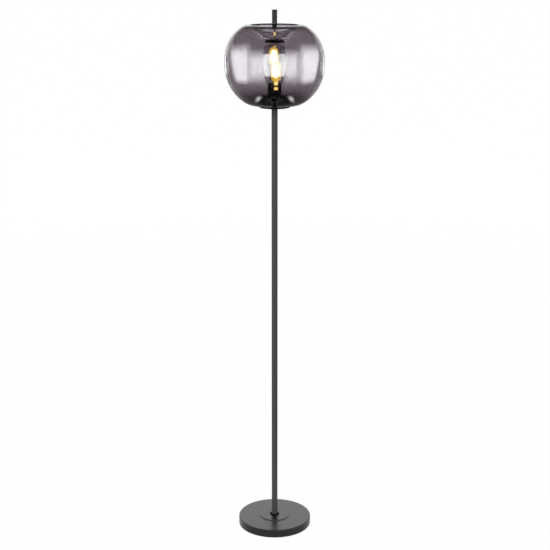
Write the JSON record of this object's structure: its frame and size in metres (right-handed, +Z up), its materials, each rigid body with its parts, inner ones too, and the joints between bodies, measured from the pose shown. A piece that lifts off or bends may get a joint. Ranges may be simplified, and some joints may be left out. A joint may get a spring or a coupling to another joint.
{
  "type": "globe floor lamp",
  "caption": "Floor lamp: weighted round base, slim jointed pole, and a lift-off round glass globe with a funnelled crown over a clear filament bulb.",
  "frame": {"origin": "centre of the base's underside, on the floor", "axes": "+Z up along the pole, +Y towards the cord inlet at the back, so the front faces -Y"},
  "size_m": [0.2904, 0.2904, 1.6],
  "materials": {
    "base_powder_coat": "black powder coat, satin, very fine texture",
    "pole_coat": "satin black coat on steel tube",
    "finial_coat": "satin black coat on turned rod",
    "cast_iron": "rough cast, machined underside",
    "felt": "black felt",
    "zinc_steel": "zinc-plated steel",
    "black_rubber": "moulded black rubber",
    "holder_coat": "semi-gloss black coat on spun metal",
    "silicone": "black silicone",
    "sleeve_gloss": "glossy black moulded plastic",
    "ceramic_white": "white glazed ceramic",
    "brass": "plain brass",
    "nickel": "bright nickel plate",
    "smoked_glass": "clear blown glass with a faint lavender-grey tint, polished",
    "clear_glass": "clear thin glass",
    "lit_filament": "yellow phosphor-coated filament, glowing warm white",
    "dark_glass": "dark fused glass insulator",
    "solder": "dull solder",
    "bush_black": "black polished plastic"
  },
  "bodies": {
    "stand": {"base_pad": "felt", "base_weight": "cast_iron", "base_cover": "base_powder_coat", "cord_grommet": "black_rubber", "base_washer": "zinc_steel", "base_nut": "zinc_steel", "base_stud": "zinc_steel", "foot_washer": "black_rubber", "lower_pole": "pole_coat", "upper_pole": "pole_coat", "pole_joint_ring": "black_rubber", "pole_joint_stud": "zinc_steel", "lower_pole_foot_insert": "zinc_steel", "lower_pole_head_insert": "zinc_steel", "upper_pole_foot_insert": "zinc_steel", "upper_pole_head_insert": "zinc_steel", "holder_dish": "holder_coat", "globe_seat": "holder_coat", "seat_spacer": "zinc_steel", "globe_gasket": "silicone", "head_stud": "zinc_steel", "head_nut": "zinc_steel", "lampholder_sleeve": "sleeve_gloss", "lampholder_insulator": "ceramic_white", "lampholder_ring": "sleeve_gloss", "screw_shell": "nickel", "centre_contact": "brass", "terminal_screws": "brass"},
    "globe": {"globe_glass": "smoked_glass", "finial_rod": "finial_coat", "finial_bush": "bush_black", "finial_stud": "zinc_steel", "finial_nut": "zinc_steel", "funnel_washer": "silicone", "plate_washer": "silicone", "finial_plate": "holder_coat"},
    "bulb": {"bulb_glass": "clear_glass", "bulb_cap": "nickel", "cap_insulator": "dark_glass", "cap_contact": "solder", "filament_stem": "clear_glass", "filament_spiders": "nickel", "led_filaments": "lit_filament"}
  },
  "joints": [
    {"name": "globe_lift", "type": "slide", "parent": "stand", "child": "globe", "axis": [0, 0, 1], "range_m": [0, 0.19]},
    {"name": "bulb_turn", "type": "hinge", "parent": "stand", "child": "bulb", "pos_m": [0, 0, 1.389], "axis": [0, 0, 1], "range_deg": [0, 1080]}
  ]
}
